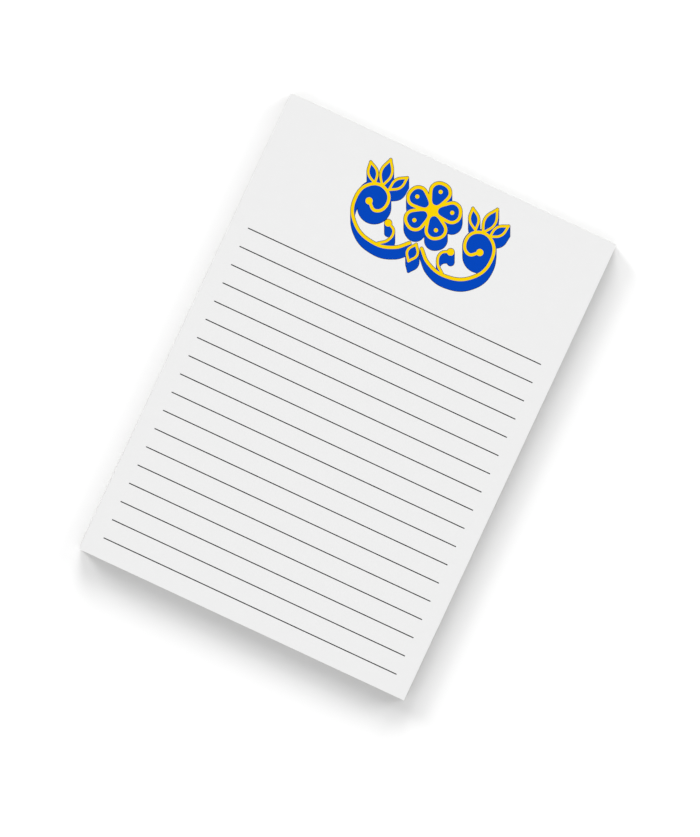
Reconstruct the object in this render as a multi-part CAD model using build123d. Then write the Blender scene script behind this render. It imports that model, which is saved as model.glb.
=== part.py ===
from build123d import *
import os

# A tear-off scratch pad, lying on its backing board with the writing face up.
# The sheets and the board are trimmed together on four sides, and a film of padding
# glue on the head edge holds them. The origin is on the underside, at the middle of
# the pad. +X is the reader's right, +Y points to the glued head, and +Z is up out of
# the writing face. All sizes are in millimetres.

# Sheets: 20 lb bond, 75 g/m2, trimmed to 5 x 7 in.
sheet_width = 127.0
sheet_length = 177.8
sheet_count = 50
sheet_caliper = 0.1

# Backing board: 24 point chipboard.
board_caliper = 0.6

# Padding glue: two brushed coats on the head edge, with the outer edges drawn round.
glue_film = 0.25
glue_edge_radius = 0.12

# Heights and places that follow from the sizes above.
block_height = sheet_count * sheet_caliper
pad_height = board_caliper + block_height
foot_y = -(sheet_length + glue_film) / 2
head_y = foot_y + sheet_length


def trimmed_slab(height, bottom_z):
    """A flat slab of the sheets' outline, from the foot to the head."""
    standing = (Align.CENTER, Align.MIN, Align.MIN)
    return Pos(0, foot_y, bottom_z) * Box(sheet_width, sheet_length, height, align=standing)


def sheet_block():
    """All the sheets, as one block that lies on the board."""
    return trimmed_slab(block_height, board_caliper)


def backing_board():
    """The stiff board under the last sheet."""
    return trimmed_slab(board_caliper, 0)


def padding_glue():
    """The film on the head edge, as tall as the sheets and the board together."""
    standing = (Align.CENTER, Align.MIN, Align.MIN)
    film = Pos(0, head_y, 0) * Box(sheet_width, glue_film, pad_height, align=standing)
    outer_edges = film.faces().sort_by(Axis.Y)[-1].edges()
    return fillet(outer_edges, glue_edge_radius)


os.makedirs("parts", exist_ok=True)
export_step(sheet_block(), "parts/sheet_block.step")
export_step(backing_board(), "parts/backing_board.step")
export_step(padding_glue(), "parts/padding_glue.step")
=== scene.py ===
"""The looks of a tear-off scratch pad: ruled sheets on a chipboard back, glued at the head."""

import math
import random

import bmesh
import bpy
from mathutils import Matrix, Vector


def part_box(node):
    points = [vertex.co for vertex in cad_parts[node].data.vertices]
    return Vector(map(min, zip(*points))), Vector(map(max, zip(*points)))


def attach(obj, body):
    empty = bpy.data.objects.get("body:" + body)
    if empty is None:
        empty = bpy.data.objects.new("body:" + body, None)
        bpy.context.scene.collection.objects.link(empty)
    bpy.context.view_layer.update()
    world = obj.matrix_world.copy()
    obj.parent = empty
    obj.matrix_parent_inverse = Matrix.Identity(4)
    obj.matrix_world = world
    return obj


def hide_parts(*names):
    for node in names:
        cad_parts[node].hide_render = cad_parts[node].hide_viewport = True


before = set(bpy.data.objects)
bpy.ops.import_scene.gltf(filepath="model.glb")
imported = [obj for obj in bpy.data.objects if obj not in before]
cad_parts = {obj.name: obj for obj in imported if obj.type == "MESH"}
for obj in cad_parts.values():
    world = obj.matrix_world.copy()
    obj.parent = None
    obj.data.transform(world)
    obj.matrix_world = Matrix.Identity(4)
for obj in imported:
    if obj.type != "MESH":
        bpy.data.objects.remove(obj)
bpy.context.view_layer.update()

bl_info = {
    "name": "Scratch Pad",
    "version": (1, 0, 0),
    "blender": (4, 5, 0),
    "location": "View3D > Sidebar > Scratch Pad",
    "description": "Builds a glued scratch pad with ruled lines and a printed heading",
    "category": "Add Mesh",
}

MM = 0.001

# One film of ink, thicker than a real one so that the films stay apart, and how many films
# high each ink of the heading lies.
INK_FILM = 0.015 * MM
OUTLINE_LAYERS, BLOCK_LAYERS, STROKE_LAYERS = 2, 3, 4

# The highest ink ends at the top of the block, so the top sheet lies as much lower.
BLOCK_LOW, BLOCK_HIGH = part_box("sheet_block")
MIDDLE_X = (BLOCK_LOW.x + BLOCK_HIGH.x) / 2
FOOT_Y, HEAD_Y = BLOCK_LOW.y, BLOCK_HIGH.y
PAPER_TOP = BLOCK_HIGH.z - STROKE_LAYERS * INK_FILM

# How often each piece is cut across X, Y and Z, so that its wear follows it smoothly.
RINGS_PER_SHEET = 3
SHEETS_CUTS = (35, 49, 0)
BOARD_CUTS = (119, 169, 3)
GLUE_CUTS = (159, 0, 27)
LINE_CUTS = (199, 0, 0)

# Steps in a round edge, sides of a round dot, and how near counts as the same place.
ROUND_STEPS = 3
DOT_SIDES = 48
TOUCHING = 0.01 * MM


# Helpers


def srgb(code):
    """The linear colour of an sRGB hex value, such as EFEFEF."""
    levels = [int(code[i:i + 2], 16) / 255 for i in (0, 2, 4)]
    return [v / 12.92 if v <= 0.04045 else ((v + 0.055) / 1.055) ** 2.4 for v in levels]


def tone(color, share=1.0):
    """A colour as a node's socket takes it, darker below a share of 1 and paler above it."""
    return (*[min(v * share, 1.0) for v in color], 1.0)


def add_node(tree, kind, inputs=(), output=None, **settings):
    """Adds a node with its own settings, and its inputs' values or links. Returns the named
    output or the first. Of the sockets that share a name, the one in use is taken."""
    made = tree.nodes.new(kind)
    for name, value in settings.items():
        setattr(made, name, value)
    for name, value in dict(inputs).items():
        entry = next(s for s in made.inputs if s.enabled and name in (s.name, s.identifier))
        if isinstance(value, bpy.types.NodeSocket):
            tree.links.new(value, entry)
        else:
            entry.default_value = value
    return next((s for s in made.outputs if s.enabled and output in (None, s.name)), made)


def new_material(name):
    """An empty node material: the material, its tree and the Object coordinates."""
    material = bpy.data.materials.new(name)
    material.use_nodes = True
    tree = material.node_tree
    tree.nodes.clear()
    return material, tree, add_node(tree, "ShaderNodeTexCoord", output="Object")


def only(piece):
    """Selects one piece and nothing else, and makes it the active one."""
    bpy.ops.object.select_all(action="DESELECT")
    piece.select_set(True)
    bpy.context.view_layer.objects.active = piece


def edit(piece):
    """Takes one piece into edit mode."""
    only(piece)
    bpy.ops.object.mode_set(mode="EDIT")


def leave_edit():
    """Goes back to object mode, with the piece still selected."""
    bpy.ops.object.mode_set(mode="OBJECT")


def add_slab(name, low, high):
    """A box between two corners, with its place in its mesh."""
    bpy.ops.object.select_all(action="DESELECT")
    bpy.ops.mesh.primitive_cube_add(size=1, location=(low + high) / 2, scale=high - low)
    bpy.ops.object.transform_apply(location=True, rotation=True, scale=True)
    slab = bpy.context.object
    slab.name = slab.data.name = name
    return slab


def select(piece, kind, test):
    """In edit mode, selects the verts, edges or faces that pass a test, and nothing else."""
    bpy.ops.mesh.select_mode(type={"verts": "VERT", "edges": "EDGE", "faces": "FACE"}[kind])
    bpy.ops.mesh.select_all(action="DESELECT")
    mesh = bmesh.from_edit_mesh(piece.data)
    for part in getattr(mesh, kind):
        if test(part):
            part.select = True
    mesh.select_flush_mode()
    bmesh.update_edit_mesh(piece.data)


def runs_along(edge, axis):
    """Whether an edge runs along an axis, 0 for X, 1 for Y and 2 for Z."""
    run = edge.verts[1].co - edge.verts[0].co
    return abs(run[axis]) > 0.9 * run.length


def cut_across(piece, cuts):
    """Cuts a piece across the X, Y and Z axis, each so many times."""
    for axis, times in enumerate(cuts):
        if times:
            select(piece, "edges", lambda edge: runs_along(edge, axis))
            bpy.ops.mesh.subdivide(number_cuts=times)


def roughen(piece, name, test, direction, depth, grain):
    """Moves the vertices that pass a test by up to half the depth each way, by a noise of the
    given grain on each axis."""
    group = piece.vertex_groups.new(name=name)
    group.add([v.index for v in piece.data.vertices if test(v.co)], 1.0, "REPLACE")
    bpy.ops.object.empty_add()
    noise_space = bpy.context.object
    noise_space.scale = grain
    texture = bpy.data.textures.new(name, "CLOUDS")
    texture.noise_scale = 1.0
    only(piece)
    wear = piece.modifiers.new(name, "DISPLACE")
    wear.texture = texture
    wear.texture_coords = "OBJECT"
    wear.texture_coords_object = noise_space
    wear.direction = direction
    wear.vertex_group = group.name
    wear.strength = depth
    bpy.context.view_layer.update()
    bpy.ops.object.modifier_apply(modifier=wear.name)
    bpy.data.objects.remove(noise_space)
    bpy.data.textures.remove(texture)
    piece.vertex_groups.clear()


def ways(piece):
    """Which of its box's six sides each face of a flat piece lies on, and the box's corners."""
    points = [v.co for v in piece.data.vertices]
    low = Vector([min(co[axis] for co in points) for axis in range(3)])
    high = Vector([max(co[axis] for co in points) for axis in range(3)])
    found = []
    for face in piece.data.polygons:
        below, above = face.center - low, high - face.center
        reach = {"left": below.x, "right": above.x, "foot": below.y, "head": above.y}
        if abs(face.normal.z) > 0.99:
            reach.update(bottom=below.z, top=above.z)
        found.append(min(reach, key=reach.get))
    return found, low, high


def lay_out(piece, places):
    """Gives a flat piece its own UV map. Each way has a rectangle of the map, given as its left,
    bottom, width and height, and the two axes that run along them."""
    found, low, high = ways(piece)
    layer = piece.data.uv_layers.new(name="OFBake")
    for face, way in zip(piece.data.polygons, found):
        left, bottom, width, height, along, up = places[way]
        for corner in face.loop_indices:
            point = piece.data.vertices[piece.data.loops[corner].vertex_index].co
            share = [(point[axis] - low[axis]) / (high[axis] - low[axis]) for axis in (along, up)]
            layer.data[corner].uv = (left + width * share[0], bottom + height * share[1])


def close_piece(piece, slot, *nodes):
    """Turns the faces outwards, attaches the finished piece to the root body and hides the CAD nodes
    that it replaces. The slot is not used.
    """
    edit(piece)
    bpy.ops.mesh.select_all(action="SELECT")
    bpy.ops.mesh.normals_make_consistent(inside=False)
    leave_edit()
    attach(piece, "root")
    if nodes:
        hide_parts(*nodes)


# The rectangles of each piece's UV map: what shows is large, and what lies on another piece small.

SHEETS_MAP = {
    "top": (0.01, 0.01, 0.42, 0.59, 0, 1),
    "left": (0.01, 0.62, 0.98, 0.11, 1, 2),
    "right": (0.01, 0.75, 0.98, 0.11, 1, 2),
    "foot": (0.01, 0.88, 0.98, 0.11, 0, 2),
    "head": (0.50, 0.01, 0.20, 0.05, 0, 2),
    "bottom": (0.50, 0.10, 0.20, 0.28, 0, 1),
}
BOARD_MAP = {
    "bottom": (0.01, 0.01, 0.70, 0.98, 0, 1),
    "left": (0.73, 0.01, 0.04, 0.98, 2, 1),
    "right": (0.79, 0.01, 0.04, 0.98, 2, 1),
    "foot": (0.85, 0.01, 0.04, 0.70, 2, 0),
    "head": (0.85, 0.73, 0.04, 0.20, 2, 0),
    "top": (0.90, 0.01, 0.09, 0.13, 0, 1),
}


# Sizes and colours


class SheetSettings(bpy.types.PropertyGroup):
    """The block of sheets"""
    count: bpy.props.IntProperty(
        name="Sheets", description="Sheets in the block", default=50, min=2)
    groove: bpy.props.FloatProperty(
        name="Groove", description="Depth of the groove between two cut sheets",
        default=0.05 * MM, unit="LENGTH")
    stagger: bpy.props.FloatProperty(
        name="Stagger", description="How far a sheet's loose edges may stand back",
        default=0.10 * MM, unit="LENGTH")
    wave: bpy.props.FloatProperty(
        name="Wave", description="How far the cut edges wander along their length",
        default=0.05 * MM, unit="LENGTH")
    seed: bpy.props.IntProperty(
        name="Seed", description="Number that the sheets' stagger is drawn from", default=7)
    face_color: bpy.props.FloatVectorProperty(
        name="Face", description="Colour of the writing face",
        default=srgb("EFEFEF"), subtype="COLOR")
    edge_color: bpy.props.FloatVectorProperty(
        name="Cut edge", description="Colour of the guillotined edges",
        default=srgb("ECECEB"), subtype="COLOR")


class BoardSettings(bpy.types.PropertyGroup):
    """The backing board"""
    edge_round: bpy.props.FloatProperty(
        name="Edge round", description="Round that the blade leaves on the lower edges",
        default=0.1 * MM, unit="LENGTH")
    fuzz: bpy.props.FloatProperty(
        name="Fuzz", description="Roughness of the cut edges",
        default=0.06 * MM, unit="LENGTH")
    board_color: bpy.props.FloatVectorProperty(
        name="Board", description="Mean colour of the chipboard",
        default=srgb("A19480"), subtype="COLOR")


class GlueSettings(bpy.types.PropertyGroup):
    """The film of padding glue"""
    edge_round: bpy.props.FloatProperty(
        name="Edge round", description="Round of the film's outer edges",
        default=0.12 * MM, unit="LENGTH")
    brush_depth: bpy.props.FloatProperty(
        name="Brush marks", description="Depth of the brush marks in the film",
        default=0.1 * MM, unit="LENGTH")
    glue_color: bpy.props.FloatVectorProperty(
        name="Glue", description="Colour of the dried padding glue",
        default=srgb("EAEAE8"), subtype="COLOR")


class RuleSettings(bpy.types.PropertyGroup):
    """The ruled lines"""
    count: bpy.props.IntProperty(
        name="Lines", description="Ruled lines on the sheet", default=18, min=1)
    pitch: bpy.props.FloatProperty(
        name="Pitch", description="Distance from one line to the next",
        default=7.11 * MM, unit="LENGTH")
    side_margin: bpy.props.FloatProperty(
        name="Side margin", description="Bare paper at both ends of each line",
        default=6.35 * MM, unit="LENGTH")
    foot_margin: bpy.props.FloatProperty(
        name="Foot margin", description="Distance from the last line to the foot",
        default=7.37 * MM, unit="LENGTH")
    width: bpy.props.FloatProperty(
        name="Line width", description="Width of a printed line",
        default=0.375 * MM, unit="LENGTH")
    creep: bpy.props.FloatProperty(
        name="Creep", description="How far the ink creeps unevenly at the sides of a line",
        default=0.03 * MM, unit="LENGTH")
    line_color: bpy.props.FloatVectorProperty(
        name="Line ink", description="Colour of the lines",
        default=srgb("1B1B1D"), subtype="COLOR")


class HeadingSettings(bpy.types.PropertyGroup):
    """The printed ornament over the lines"""
    width: bpy.props.FloatProperty(
        name="Width", description="Width of the ornament",
        default=55 * MM, unit="LENGTH")
    from_head: bpy.props.FloatProperty(
        name="From head", description="Distance of the ornament's middle from the head",
        default=21.2 * MM, unit="LENGTH")
    aside: bpy.props.FloatProperty(
        name="Aside", description="Distance of the ornament's middle from the middle of the sheet",
        default=-0.8 * MM, unit="LENGTH")
    stroke: bpy.props.FloatProperty(
        name="Stroke", description="Width of the flower's and the scrolls' strokes",
        default=1.1 * MM, unit="LENGTH")
    fine_stroke: bpy.props.FloatProperty(
        name="Fine stroke", description="Width of the leaves' and tendrils' strokes",
        default=0.85 * MM, unit="LENGTH")
    outline: bpy.props.FloatProperty(
        name="Outline", description="Width of the dark line round the strokes and the block",
        default=0.18 * MM, unit="LENGTH")
    block_length: bpy.props.FloatProperty(
        name="Block", description="Length of the block shadow",
        default=3.6 * MM, unit="LENGTH")
    block_turn: bpy.props.FloatProperty(
        name="Block turn", description="Turn of the block shadow from straight down the sheet",
        default=math.radians(25), unit="ROTATION")
    stroke_color: bpy.props.FloatVectorProperty(
        name="Stroke ink", description="Colour of the strokes",
        default=srgb("FFD400"), subtype="COLOR")
    outline_color: bpy.props.FloatVectorProperty(
        name="Outline ink", description="Colour of the thin outlines",
        default=srgb("14203C"), subtype="COLOR")
    block_color: bpy.props.FloatVectorProperty(
        name="Block ink", description="Colour of the block",
        default=srgb("0046BC"), subtype="COLOR")


class StageSettings(bpy.types.PropertyGroup):
    """The camera, the lamps and the floor"""
    turn: bpy.props.FloatProperty(
        name="Turn", description="Turn of the camera about the vertical",
        default=math.radians(25), unit="ROTATION")
    across: bpy.props.FloatProperty(
        name="Across", description="Camera's place along the lines, from the pad's middle",
        default=4.0 * MM, unit="LENGTH")
    down: bpy.props.FloatProperty(
        name="Down", description="Camera's place towards the foot, from the pad's middle",
        default=6.6 * MM, unit="LENGTH")
    view_length: bpy.props.FloatProperty(
        name="View", description="Length of the view's long side, on the writing face",
        default=296 * MM, unit="LENGTH")
    lens: bpy.props.FloatProperty(
        name="Lens", description="Focal length of the camera", default=100, unit="CAMERA")
    key_strength: bpy.props.FloatProperty(
        name="Key", description="Strength of the soft lamp over the head", default=1.07)
    fill_strength: bpy.props.FloatProperty(
        name="Fill", description="Strength of the soft lamp over the foot", default=1.27)
    sky_strength: bpy.props.FloatProperty(
        name="Sky", description="Strength of the even light from all round", default=0.42)
    floor_strength: bpy.props.FloatProperty(
        name="Floor lamps", description="Strength of the lamps that light only the floor",
        default=1.01)
    floor_color: bpy.props.FloatVectorProperty(
        name="Floor", description="Colour of the floor, which its own lamps bring up to white",
        default=srgb("C7C7C7"), subtype="COLOR")


# Materials


def uncoated_bond(color):
    """Uncoated bond paper, calendered and left bare: flat, dull and even, with a faint tooth
    that is drawn coarser than a real one, so that it shows."""
    material, tree, place = new_material("uncoated_bond")
    formation = add_node(tree, "ShaderNodeTexNoise", {
        "Vector": place, "Scale": 1 / (6 * MM), "Detail": 3.0})
    face = add_node(tree, "ShaderNodeMix", {
        "Factor": formation, "A": tone(color, 0.99), "B": tone(color, 1.01)}, data_type="RGBA")
    tooth = add_node(tree, "ShaderNodeTexNoise", {
        "Vector": place, "Scale": 1 / (0.35 * MM), "Detail": 3.0})
    bump = add_node(tree, "ShaderNodeBump", {
        "Height": tooth, "Strength": 0.25, "Distance": 0.012 * MM})
    shader = add_node(tree, "ShaderNodeBsdfPrincipled", {
        "Base Color": face, "Roughness": 0.92, "Specular IOR Level": 0.1, "Normal": bump})
    add_node(tree, "ShaderNodeOutputMaterial", {"Surface": shader})
    return material


def guillotined_bond(color, caliper):
    """The same paper where the guillotine cut it: the sheets show as fine lines, some a little
    darker, with faint upright marks from nicks in the blade."""
    material, tree, place = new_material("guillotined_bond")
    by_sheet = add_node(tree, "ShaderNodeMapping", {
        "Vector": place, "Scale": (1 / (30 * MM), 1 / (30 * MM), 1 / caliper)})
    sheets = add_node(tree, "ShaderNodeTexNoise", {
        "Vector": by_sheet, "Scale": 1.0, "Detail": 1.0})
    batches = add_node(tree, "ShaderNodeTexNoise", {
        "Vector": by_sheet, "Scale": 0.2, "Detail": 1.0})
    lines = add_node(tree, "ShaderNodeMath", {"Value": sheets, "Value_001": batches})
    depth = add_node(tree, "ShaderNodeMapRange", {
        "Value": lines, "From Min": 0.75, "From Max": 1.25})
    cut = add_node(tree, "ShaderNodeMix", {
        "Factor": depth, "A": tone(color, 0.78), "B": tone(color, 1.04)}, data_type="RGBA")
    upright = add_node(tree, "ShaderNodeMapping", {
        "Vector": place, "Scale": (1 / (0.5 * MM), 1 / (0.5 * MM), 1 / (15 * MM))})
    nicks = add_node(tree, "ShaderNodeTexNoise", {
        "Vector": upright, "Scale": 1.0, "Detail": 2.0})
    bump = add_node(tree, "ShaderNodeBump", {
        "Height": nicks, "Strength": 0.4, "Distance": 0.02 * MM})
    shader = add_node(tree, "ShaderNodeBsdfPrincipled", {
        "Base Color": cut, "Roughness": 0.95, "Specular IOR Level": 0.2, "Normal": bump})
    add_node(tree, "ShaderNodeOutputMaterial", {"Surface": shader})
    return material


def recycled_chipboard(color):
    """Unlined chipboard pressed from recycled pulp: grey-brown and dull, cloudy, with paler and
    darker fibres lying in it every way, and ragged flecks of old print. The fibres are drawn
    several times as thick as real ones, so that they show."""
    material, tree, place = new_material("recycled_chipboard")
    pulp = add_node(tree, "ShaderNodeTexNoise", {
        "Vector": place, "Scale": 1 / (4 * MM), "Detail": 6.0, "Roughness": 0.7})
    cloud = add_node(tree, "ShaderNodeMapRange", {
        "Value": pulp, "From Min": 0.3, "From Max": 0.7})
    board = add_node(tree, "ShaderNodeMix", {
        "Factor": cloud, "A": tone(color, 0.86), "B": tone(color, 1.14)}, data_type="RGBA")
    for turn, share in ((35, 0.6), (-50, 1.45), (85, 0.7), (-10, 1.35), (62, 1.4), (-78, 0.65)):
        laid = add_node(tree, "ShaderNodeMapping", {
            "Vector": place, "Rotation": (0, 0, math.radians(turn)),
            "Scale": (1.8 * MM, 0.16 * MM, 0.16 * MM)}, vector_type="TEXTURE")
        bent = add_node(tree, "ShaderNodeTexNoise", {
            "Vector": laid, "Scale": 1.0, "Detail": 1.0, "Distortion": 0.6})
        seen = add_node(tree, "ShaderNodeMapRange", {
            "Value": bent, "From Min": 0.62, "From Max": 0.72, "To Max": 0.55})
        board = add_node(tree, "ShaderNodeMix", {
            "Factor": seen, "A": board, "B": tone(color, share)}, data_type="RGBA")
    ragged = add_node(tree, "ShaderNodeTexNoise", {
        "Vector": place, "Scale": 1 / (0.9 * MM), "Detail": 3.0, "Roughness": 0.6})
    flecks = add_node(tree, "ShaderNodeMapRange", {
        "Value": ragged, "From Min": 0.70, "From Max": 0.74, "To Max": 0.6})
    flecked = add_node(tree, "ShaderNodeMix", {
        "Factor": flecks, "A": board, "B": tone(color, 0.3)}, data_type="RGBA")
    nap = add_node(tree, "ShaderNodeTexNoise", {
        "Vector": place, "Scale": 1 / (0.3 * MM), "Detail": 4.0})
    bump = add_node(tree, "ShaderNodeBump", {
        "Height": nap, "Strength": 0.5, "Distance": 0.04 * MM})
    shader = add_node(tree, "ShaderNodeBsdfPrincipled", {
        "Base Color": flecked, "Roughness": 0.95, "Specular IOR Level": 0.2, "Normal": bump})
    add_node(tree, "ShaderNodeOutputMaterial", {"Surface": shader})
    return material


def padding_compound(color, caliper):
    """White PVA padding compound, brushed on and dried: a rubbery satin film that is streaked
    along the head and lets the sheets' edges show through faintly."""
    material, tree, place = new_material("pva_padding_compound")
    brushed = add_node(tree, "ShaderNodeMapping", {
        "Vector": place, "Scale": (1 / (14 * MM), 1 / (0.4 * MM), 1 / (0.4 * MM))})
    streaks = add_node(tree, "ShaderNodeTexNoise", {
        "Vector": brushed, "Scale": 1.0, "Detail": 3.0})
    by_sheet = add_node(tree, "ShaderNodeMapping", {
        "Vector": place, "Scale": (1 / (40 * MM), 1 / (40 * MM), 1 / (2 * caliper))})
    sheets = add_node(tree, "ShaderNodeTexNoise", {
        "Vector": by_sheet, "Scale": 1.0, "Detail": 1.0})
    showing = add_node(tree, "ShaderNodeMath", {"Value": streaks, "Value_001": sheets})
    share = add_node(tree, "ShaderNodeMapRange", {
        "Value": showing, "From Min": 0.7, "From Max": 1.3})
    film = add_node(tree, "ShaderNodeMix", {
        "Factor": share, "A": tone(color, 0.88), "B": tone(color, 1.06)}, data_type="RGBA")
    gloss = add_node(tree, "ShaderNodeMapRange", {
        "Value": streaks, "From Min": 0.3, "From Max": 0.7, "To Min": 0.32, "To Max": 0.5})
    bump = add_node(tree, "ShaderNodeBump", {
        "Height": streaks, "Strength": 0.5, "Distance": 0.03 * MM})
    shader = add_node(tree, "ShaderNodeBsdfPrincipled", {
        "Base Color": film, "Roughness": gloss, "IOR": 1.46, "Normal": bump})
    add_node(tree, "ShaderNodeOutputMaterial", {"Surface": shader})
    return material


def offset_ink(name, color):
    """Offset ink on uncoated paper: a thin matt film, a little uneven where the paper drinks it."""
    material, tree, place = new_material(name)
    mottle = add_node(tree, "ShaderNodeTexNoise", {
        "Vector": place, "Scale": 1 / (0.5 * MM), "Detail": 3.0})
    film = add_node(tree, "ShaderNodeMix", {
        "Factor": mottle, "A": tone(color, 0.93), "B": tone(color, 1.07)}, data_type="RGBA")
    shader = add_node(tree, "ShaderNodeBsdfPrincipled", {
        "Base Color": film, "Roughness": 0.75, "Specular IOR Level": 0.04})
    add_node(tree, "ShaderNodeOutputMaterial", {"Surface": shader})
    return material


# Pieces


def build_sheets(settings):
    """One closed block: a ring of points for each sheet's two faces and one for the groove under
    it, then each sheet's loose edges staggered, and the cut edges waved."""
    slack = settings.wave / 2
    low = BLOCK_LOW + Vector((slack, slack, 0))
    high = Vector((BLOCK_HIGH.x - slack, HEAD_Y, PAPER_TOP))
    stack = add_slab("sheets", low, high)
    edit(stack)
    levels = settings.count * RINGS_PER_SHEET
    cut_across(stack, (0, 0, levels - 1))
    caliper = (high.z - low.z) / settings.count
    middle = (low + high) / 2

    def sheet_of(vert):
        """The number of the sheet that a point is on, from the lowest, or -1 in a groove."""
        level = round((vert.co.z - low.z) / caliper * RINGS_PER_SHEET)
        if 0 < level < levels and level % RINGS_PER_SHEET == 0:
            return -1
        return min(level // RINGS_PER_SHEET, settings.count - 1)

    select(stack, "verts", lambda v: sheet_of(v) == -1)
    bpy.ops.transform.resize(
        value=(1 - 2 * settings.groove / (high.x - low.x),
               1 - settings.groove / (high.y - low.y), 1),
        center_override=(middle.x, HEAD_Y, middle.z))
    draw = random.Random(settings.seed)
    for sheet in range(settings.count):
        for side in (-1, 1):
            select(stack, "verts", lambda v: (
                sheet_of(v) == sheet and side * (v.co.x - middle.x) > 0 and v.co.y < middle.y))
            bpy.ops.transform.translate(value=(
                -side * draw.random() * settings.stagger,
                draw.random() * settings.stagger, 0))
    cut_across(stack, SHEETS_CUTS)
    leave_edit()
    near = 2 * settings.stagger
    grain = (15 * MM, 15 * MM, 3 * caliper)
    roughen(stack, "long_edges", lambda co: abs(co.x - middle.x) > middle.x - low.x - near,
            "X", settings.wave, grain)
    roughen(stack, "foot_edge", lambda co: co.y < low.y + near, "Y", settings.wave, grain)
    stack.data.materials.append(uncoated_bond(settings.face_color))
    stack.data.materials.append(guillotined_bond(settings.edge_color, caliper))
    for face, way in zip(stack.data.polygons, ways(stack)[0]):
        face.material_index = 0 if way in ("top", "bottom") else 1
    lay_out(stack, SHEETS_MAP)
    close_piece(stack, "paper", "sheet_block")


def build_board(settings):
    """The board, with its lower edges pressed round by the blade and its cut edges rough."""
    low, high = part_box("backing_board")
    slack = settings.fuzz / 2
    low += Vector((slack, slack, 0))
    high.x -= slack
    board = add_slab("chipboard_back", low, high)
    edit(board)
    select(board, "edges", lambda edge: all(v.co.z < low.z + TOUCHING for v in edge.verts))
    bpy.ops.mesh.bevel(offset=settings.edge_round, segments=ROUND_STEPS)
    cut_across(board, BOARD_CUTS)
    leave_edit()
    rim = settings.edge_round / 2
    grain = (0.8 * MM, 0.8 * MM, 0.3 * MM)
    roughen(board, "long_edges", lambda co: min(co.x - low.x, high.x - co.x) < rim,
            "X", settings.fuzz, grain)
    roughen(board, "foot_edge", lambda co: co.y - low.y < rim, "Y", settings.fuzz, grain)
    board.data.materials.append(recycled_chipboard(settings.board_color))
    lay_out(board, BOARD_MAP)
    close_piece(board, "chipboard", "backing_board")


def build_glue(settings, sheet_count):
    """The film on the head edge, level with the top sheet, drawn round at its outer edges and
    ridged by the brush."""
    low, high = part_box("padding_glue")
    high.y -= settings.brush_depth / 2
    high.z = PAPER_TOP
    film = add_slab("glue_film", low, high)
    edit(film)
    select(film, "edges", lambda edge: all(v.co.y > high.y - TOUCHING for v in edge.verts))
    bpy.ops.mesh.bevel(offset=settings.edge_round, segments=ROUND_STEPS)
    cut_across(film, GLUE_CUTS)
    leave_edit()
    outside = high.y - settings.edge_round
    grain = (10 * MM, 1 * MM, 0.5 * MM)
    roughen(film, "brushed_face", lambda co: co.y > outside, "Y", settings.brush_depth, grain)
    caliper = (BLOCK_HIGH.z - BLOCK_LOW.z) / sheet_count
    film.data.materials.append(padding_compound(settings.glue_color, caliper))
    close_piece(film, "glue", "padding_glue")


def build_rules(settings):
    """The ruled lines, each a thin film of ink with slightly uneven sides."""
    ink = offset_ink("black_offset_ink", settings.line_color)
    lines = []
    for row in range(settings.count):
        middle = FOOT_Y + settings.foot_margin + row * settings.pitch
        low = Vector((BLOCK_LOW.x + settings.side_margin, middle - settings.width / 2, PAPER_TOP))
        high = Vector((BLOCK_HIGH.x - settings.side_margin, middle + settings.width / 2,
                       PAPER_TOP + INK_FILM))
        line = add_slab("ruled_line", low, high)
        edit(line)
        cut_across(line, LINE_CUTS)
        leave_edit()
        lines.append(line)
    bpy.ops.object.select_all(action="DESELECT")
    for line in lines:
        line.select_set(True)
    bpy.context.view_layer.objects.active = lines[0]
    bpy.ops.object.join()
    rules = bpy.context.object
    rules.name = rules.data.name = "ruled_lines"
    grain = (0.7 * MM, 0.1 * MM, 1 * MM)
    roughen(rules, "line_sides", lambda co: True, "Y", settings.creep, grain)
    rules.data.materials.append(ink)
    close_piece(rules, "paper")


# The ornament: a flower between two scrolls that end in leaves. Its points and radii are in
# steps from its middle, and it is 56 steps wide.

ORNAMENT_STEPS = 56
FLOWER = Vector((0, 4.9, 0))
PETALS = 5
PETAL = ((1.6, 0), (5.0, -2.9), (8.6, -3.2), (10.3, 0), (8.6, 3.2), (5.0, 2.9))
EYE_RADIUS = 2.2
STAMEN = Vector((7.3, 0, 0))
STAMEN_RADIUS = 0.75
SCROLL = ((2.4, -9.2), (6.6, -12.9), (14.6, -14.6), (23.2, -11.0), (26.9, -3.2), (24.2, 4.0),
          (18.4, 4.8), (15.6, 0.4), (18.4, -3.8), (22.0, -1.6))
TENDRIL = ((12.8, -14.2), (9.8, -11.4), (9.4, -7.8), (12.2, -5.8))
LEAVES = (((20.0, 5.2), (21.2, 15.2), 2.0), ((17.2, 5.0), (13.0, 11.8), 1.6),
          ((22.8, 5.0), (27.4, 11.4), 1.6))
MIDDLE_LEAF = ((0, -8.6), (0, -15.3), 1.9)
BERRIES = (((22.0, -1.6), 1.3), ((12.4, -5.9), 1.3))
VOLUTE = ((20.9, 0.4), 6.0)


def mirrored(points):
    """The same points on the other side of the ornament's middle line."""
    return [(-x, y) for x, y in points]


def round_flower(points, turn):
    """Points given outwards from the flower's middle, turned about it."""
    turned = Matrix.Rotation(turn, 3, "Z")
    return [(FLOWER + turned @ Vector(point).to_3d()).xy[:] for point in points]


def leaf(base, tip, half_width):
    """The outline of a leaf: its base, one side, its tip and the other side."""
    base, tip = Vector(base), Vector(tip)
    middle = (base + tip) / 2
    bulge = (tip - base).orthogonal().normalized() * half_width
    return [base[:], (middle + bulge)[:], tip[:], (middle - bulge)[:]]


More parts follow.
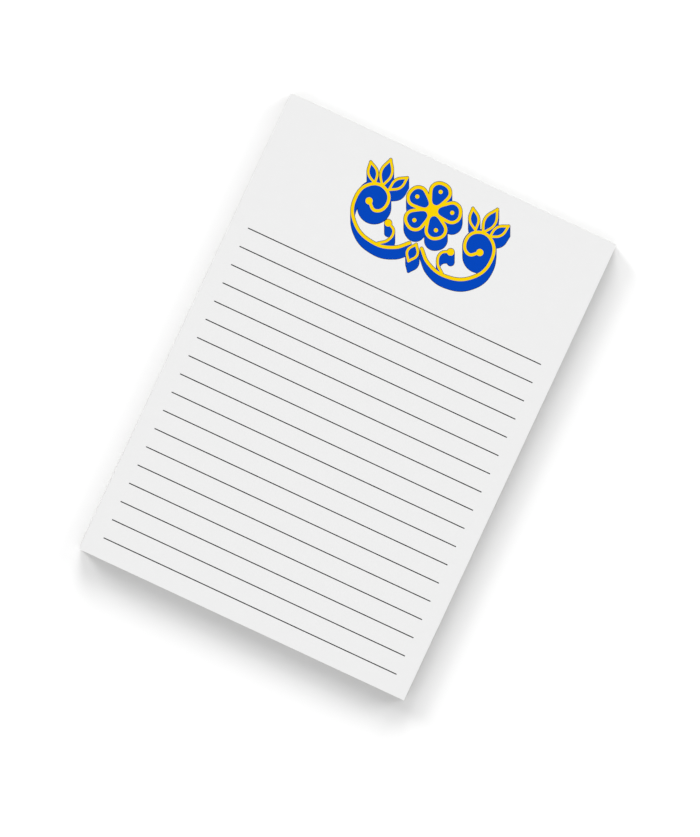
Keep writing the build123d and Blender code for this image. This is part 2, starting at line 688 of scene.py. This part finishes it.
def ornament():
    """The ornament's parts: its petals, scrolls, leaves, tendrils and dots."""
    turns = [math.radians(90 + 360 * k / PETALS) for k in range(PETALS)]
    petals = [round_flower(PETAL, turn) for turn in turns]
    scrolls = [list(SCROLL), mirrored(SCROLL)]
    leaves = [leaf(*MIDDLE_LEAF)]
    for place in LEAVES:
        leaves += [leaf(*place), mirrored(leaf(*place))]
    tendrils = [list(TENDRIL), mirrored(TENDRIL)]
    dots = [(FLOWER.xy[:], EYE_RADIUS)]
    dots += [(*round_flower([STAMEN], turn), STAMEN_RADIUS) for turn in turns]
    for middle, radius in BERRIES:
        dots += [(middle, radius), (*mirrored([middle]), radius)]
    return petals, scrolls, leaves, tendrils, dots


def add_line(points, step, closed, sharp=(), **settings):
    """A curve through points in steps, smooth but for a corner at each point numbered in sharp,
    with the given settings of a curve. A new curve has two points already."""
    bpy.ops.object.select_all(action="DESELECT")
    bpy.ops.curve.primitive_bezier_curve_add()
    line = bpy.context.object
    for name, value in settings.items():
        setattr(line.data, name, value)
    spline = line.data.splines[0]
    spline.bezier_points.add(len(points) - 2)
    for number, (x, y) in enumerate(points):
        knot = spline.bezier_points[number]
        knot.co = (x * step, y * step, 0)
        knot.handle_left_type = knot.handle_right_type = "VECTOR" if number in sharp else "AUTO"
    spline.use_cyclic_u = closed
    return line


def add_section(width, depth):
    """The outline of a ribbon's cross-section, as a curve."""
    bpy.ops.object.select_all(action="DESELECT")
    bpy.ops.mesh.primitive_plane_add(size=1)
    section = bpy.context.object
    section.scale = (width, depth, 1)
    bpy.ops.object.transform_apply(location=False, rotation=False, scale=True)
    edit(section)
    bpy.ops.mesh.select_all(action="SELECT")
    bpy.ops.mesh.delete(type="ONLY_FACE")
    leave_edit()
    bpy.ops.object.convert(target="CURVE")
    return bpy.context.object


def add_dot(point, step, radius, depth):
    """A round dot of ink at a point in steps."""
    bpy.ops.object.select_all(action="DESELECT")
    bpy.ops.mesh.primitive_cylinder_add(
        vertices=DOT_SIDES, radius=radius, depth=depth,
        location=(point[0] * step, point[1] * step, 0))
    return bpy.context.object


def print_ornament(name, settings, spread, layers, filled):
    """The ornament as one film of ink that many layers high, its strokes wider by the spread on
    each side, with its petals, leaves and volutes filled or open."""
    petals, scrolls, leaves, tendrils, dots = ornament()
    fine = tendrils + [side for edge in leaves for side in (edge[:3], edge[2:] + edge[:1])]
    step = settings.width / ORNAMENT_STEPS
    depth = layers * INK_FILM
    films, sections = [], []
    for lines, closed, stroke in ((petals, True, settings.stroke), (scrolls, False, settings.stroke),
                                  (fine, False, settings.fine_stroke)):
        width = stroke + 2 * spread
        section = add_section(width, depth)
        sections.append(section)
        for points in lines:
            films.append(add_line(
                points, step, closed, dimensions="3D", twist_mode="Z_UP", bevel_mode="OBJECT",
                bevel_object=section, use_fill_caps=True))
            if not closed:
                films += [add_dot(points[end], step, width / 2, depth) for end in (0, -1)]
    if filled:
        films += [add_line(points, step, True, sharp, dimensions="2D", fill_mode="BOTH",
                           extrude=depth / 2)
                  for outlines, sharp in ((petals, ()), (leaves, (0, 2))) for points in outlines]
        dots += [VOLUTE, (*mirrored([VOLUTE[0]]), VOLUTE[1])]
    films += [add_dot(middle, step, radius * step + spread, depth) for middle, radius in dots]

    bpy.ops.object.select_all(action="DESELECT")
    for film in films:
        film.select_set(True)
    bpy.context.view_layer.objects.active = films[0]
    bpy.ops.object.convert(target="MESH")
    bpy.ops.object.join()
    bpy.ops.object.shade_flat()
    for section in sections:
        bpy.data.objects.remove(section)
    piece = bpy.context.object
    piece.name = piece.data.name = name
    bpy.ops.transform.translate(value=(
        MIDDLE_X + settings.aside, HEAD_Y - settings.from_head, PAPER_TOP + depth / 2))
    bpy.ops.object.transform_apply(location=True, rotation=True, scale=True)
    edit(piece)
    bpy.ops.mesh.select_all(action="SELECT")
    bpy.ops.mesh.remove_doubles(threshold=INK_FILM / 10)
    bpy.ops.mesh.normals_make_consistent(inside=False)
    bpy.ops.mesh.intersect_boolean(
        operation="UNION", use_self=True, solver="EXACT", threshold=INK_FILM / 100)
    leave_edit()
    return piece


def cast_block(film, settings, layers):
    """Draws a film's face out into the block, one layer lower at the block's far end, and brings
    it down to the paper there."""
    edit(film)
    face_z = PAPER_TOP + (layers - 0.5) * INK_FILM
    select(film, "faces", lambda face: any(v.co.z < face_z for v in face.verts))
    bpy.ops.mesh.delete(type="FACE")
    bpy.ops.mesh.select_all(action="SELECT")
    bpy.ops.mesh.extrude_region_move(TRANSFORM_OT_translate={"value": (
        math.sin(settings.block_turn) * settings.block_length,
        -math.cos(settings.block_turn) * settings.block_length, -INK_FILM)})
    bpy.ops.mesh.extrude_region_move(TRANSFORM_OT_translate={"value": (
        0, 0, (1 - layers) * INK_FILM)})
    leave_edit()


def build_heading(settings):
    """The heading in three inks: a thin dark outline, the block over it and the strokes on top.
    The strokes are open, and the other two are filled and cast a block."""
    outline = print_ornament(
        "heading_outline", settings, settings.outline, OUTLINE_LAYERS, True)
    cast_block(outline, settings, OUTLINE_LAYERS)
    outline.data.materials.append(offset_ink("dark_offset_ink", settings.outline_color))
    close_piece(outline, "paper")
    block = print_ornament("heading_block", settings, 0, BLOCK_LAYERS, True)
    cast_block(block, settings, BLOCK_LAYERS)
    block.data.materials.append(offset_ink("blue_offset_ink", settings.block_color))
    close_piece(block, "paper")
    strokes = print_ornament("heading_strokes", settings, 0, STROKE_LAYERS, False)
    strokes.data.materials.append(offset_ink("yellow_offset_ink", settings.stroke_color))
    close_piece(strokes, "paper")


# Stage


# The floor's length, and how far it lies below the pad so that the two stay apart.
FLOOR_SIZE = 4.0
FLOOR_GAP = 0.02 * MM

# The floor's own lamps. Each has its angle from the head, strength, width and elevation. Four
# low ones are fanned out round the head, and two high ones lift the far side of the shadow.
FLOOR_LAMPS = (
    (-70, 1.9, 30, 18),
    (-20, 1.8, 22, 14),
    (0, 2.8, 24, 20),
    (40, 3.4, 24, 20),
    (130, 1.1, 50, 40),
    (215, 0.95, 60, 55),
)


def white_paper_floor(color):
    """A sweep of dull white studio paper."""
    material, tree, _ = new_material("white_studio_paper")
    paper = add_node(tree, "ShaderNodeBsdfDiffuse", {"Color": tone(color)})
    add_node(tree, "ShaderNodeOutputMaterial", {"Surface": paper})
    return material


def white_studio(sky_strength):
    """A room that gives a weak even light from all round, and is itself seen as white."""
    world = bpy.data.worlds.new("white_studio")
    world.use_nodes = True
    tree = world.node_tree
    tree.nodes.clear()
    seen = 0.0
    for ray in ("Is Camera Ray", "Is Glossy Ray", "Is Transmission Ray"):
        seen = add_node(tree, "ShaderNodeMath", {
            "Value": seen, "Value_001": add_node(tree, "ShaderNodeLightPath", output=ray)},
            operation="MAXIMUM")
    strength = add_node(tree, "ShaderNodeMapRange", {
        "Value": seen, "To Min": sky_strength, "To Max": 1.0})
    sky = add_node(tree, "ShaderNodeBackground", {
        "Color": (1, 1, 1, 1), "Strength": strength})
    add_node(tree, "ShaderNodeOutputWorld", {"Surface": sky})
    return world


def add_lamp(name, strength, width, elevation, azimuth, floor, link):
    """A far, soft lamp that lights only the floor, where the link is INCLUDE, or everything else,
    where it is EXCLUDE. Its angles are in degrees."""
    bpy.ops.object.light_add(type="SUN")
    lamp = bpy.context.object
    lamp.name = lamp.data.name = name
    lamp.data.energy = strength
    lamp.data.angle = math.radians(width)
    lamp.rotation_euler = (math.radians(90 - elevation), 0, math.radians(azimuth + 90))
    linked = bpy.data.collections.new(name)
    linked.objects.link(floor)
    linked.collection_objects[0].light_linking.link_state = link
    lamp.light_linking.receiver_collection = linked


def build_stage(settings):
    """The floor, the light and a camera straight above the pad."""
    bpy.ops.mesh.primitive_plane_add(size=FLOOR_SIZE, location=(0, 0, -FLOOR_GAP))
    floor = bpy.context.object
    floor.name = floor.data.name = "floor"
    floor.data.materials.append(white_paper_floor(settings.floor_color))
    bpy.context.scene.world = white_studio(settings.sky_strength)

    # The sky, the key and the fill together give each flat face of the pad its own colour. The
    # floor's lamps draw out the shadow of so thin a pad and blur its corners. On the pad itself
    # the low ones would burn out the head edge.
    headwards = 90 + math.degrees(settings.turn)
    add_lamp("key_lamp", settings.key_strength, 80, 47, headwards, floor, "EXCLUDE")
    add_lamp("fill_lamp", settings.fill_strength, 60, 55, headwards + 215, floor, "EXCLUDE")
    for turn, strength, width, elevation in FLOOR_LAMPS:
        add_lamp("floor_lamp", settings.floor_strength * strength, width, elevation,
                 headwards + turn, floor, "INCLUDE")

    bpy.ops.object.camera_add(rotation=(0, 0, settings.turn))
    camera = bpy.context.object
    camera.data.lens = settings.lens
    distance = settings.view_length * settings.lens / camera.data.sensor_width
    camera.location = (settings.across, -settings.down, BLOCK_HIGH.z + distance)
    bpy.context.scene.camera = camera
    bpy.context.scene.view_settings.view_transform = "Standard"


# Operators and panel


class PAD_OT_sheets(bpy.types.Operator):
    """Build the block of sheets"""
    bl_idname = "pad.sheets"
    bl_label = "Sheets"

    def execute(self, context):
        build_sheets(context.scene.pad_sheets)
        return {"FINISHED"}


class PAD_OT_board(bpy.types.Operator):
    """Build the chipboard back"""
    bl_idname = "pad.board"
    bl_label = "Backing board"

    def execute(self, context):
        build_board(context.scene.pad_board)
        return {"FINISHED"}


class PAD_OT_glue(bpy.types.Operator):
    """Build the film of padding glue on the head edge"""
    bl_idname = "pad.glue"
    bl_label = "Padding glue"

    def execute(self, context):
        build_glue(context.scene.pad_glue, context.scene.pad_sheets.count)
        return {"FINISHED"}


class PAD_OT_rules(bpy.types.Operator):
    """Print the ruled lines"""
    bl_idname = "pad.rules"
    bl_label = "Ruled lines"

    def execute(self, context):
        build_rules(context.scene.pad_rules)
        return {"FINISHED"}


class PAD_OT_heading(bpy.types.Operator):
    """Print the ornament over the lines"""
    bl_idname = "pad.heading"
    bl_label = "Heading"

    def execute(self, context):
        build_heading(context.scene.pad_heading)
        return {"FINISHED"}


class PAD_OT_stage(bpy.types.Operator):
    """Set up the floor, the lamps and the camera"""
    bl_idname = "pad.stage"
    bl_label = "Stage"

    def execute(self, context):
        build_stage(context.scene.pad_stage)
        return {"FINISHED"}


SETTINGS = {
    "pad_sheets": SheetSettings,
    "pad_board": BoardSettings,
    "pad_glue": GlueSettings,
    "pad_rules": RuleSettings,
    "pad_heading": HeadingSettings,
    "pad_stage": StageSettings,
}
OPERATORS = {
    "pad_sheets": PAD_OT_sheets,
    "pad_board": PAD_OT_board,
    "pad_glue": PAD_OT_glue,
    "pad_rules": PAD_OT_rules,
    "pad_heading": PAD_OT_heading,
    "pad_stage": PAD_OT_stage,
}


class PAD_PT_panel(bpy.types.Panel):
    """The sizes and colours of each piece, with the button that builds it"""
    bl_idname = "PAD_PT_panel"
    bl_label = "Scratch Pad"
    bl_space_type = "VIEW_3D"
    bl_region_type = "UI"
    bl_category = "Scratch Pad"

    def draw(self, context):
        for name, operator in OPERATORS.items():
            box = self.layout.box()
            settings = getattr(context.scene, name)
            for entry in settings.bl_rna.properties:
                if entry.identifier in SETTINGS[name].__annotations__:
                    box.prop(settings, entry.identifier)
            box.operator(operator.bl_idname)


def register():
    for name, group in SETTINGS.items():
        bpy.utils.register_class(group)
        setattr(bpy.types.Scene, name, bpy.props.PointerProperty(type=group))
    for operator in OPERATORS.values():
        bpy.utils.register_class(operator)
    bpy.utils.register_class(PAD_PT_panel)


def unregister():
    bpy.utils.unregister_class(PAD_PT_panel)
    for operator in OPERATORS.values():
        bpy.utils.unregister_class(operator)
    for name, group in SETTINGS.items():
        delattr(bpy.types.Scene, name)
        bpy.utils.unregister_class(group)


def main():
    register()
    bpy.ops.pad.sheets()
    bpy.ops.pad.board()
    bpy.ops.pad.glue()
    bpy.ops.pad.rules()
    bpy.ops.pad.heading()
    bpy.ops.pad.stage()
    bpy.context.view_layer.update()


if __name__ == "__main__":
    main()
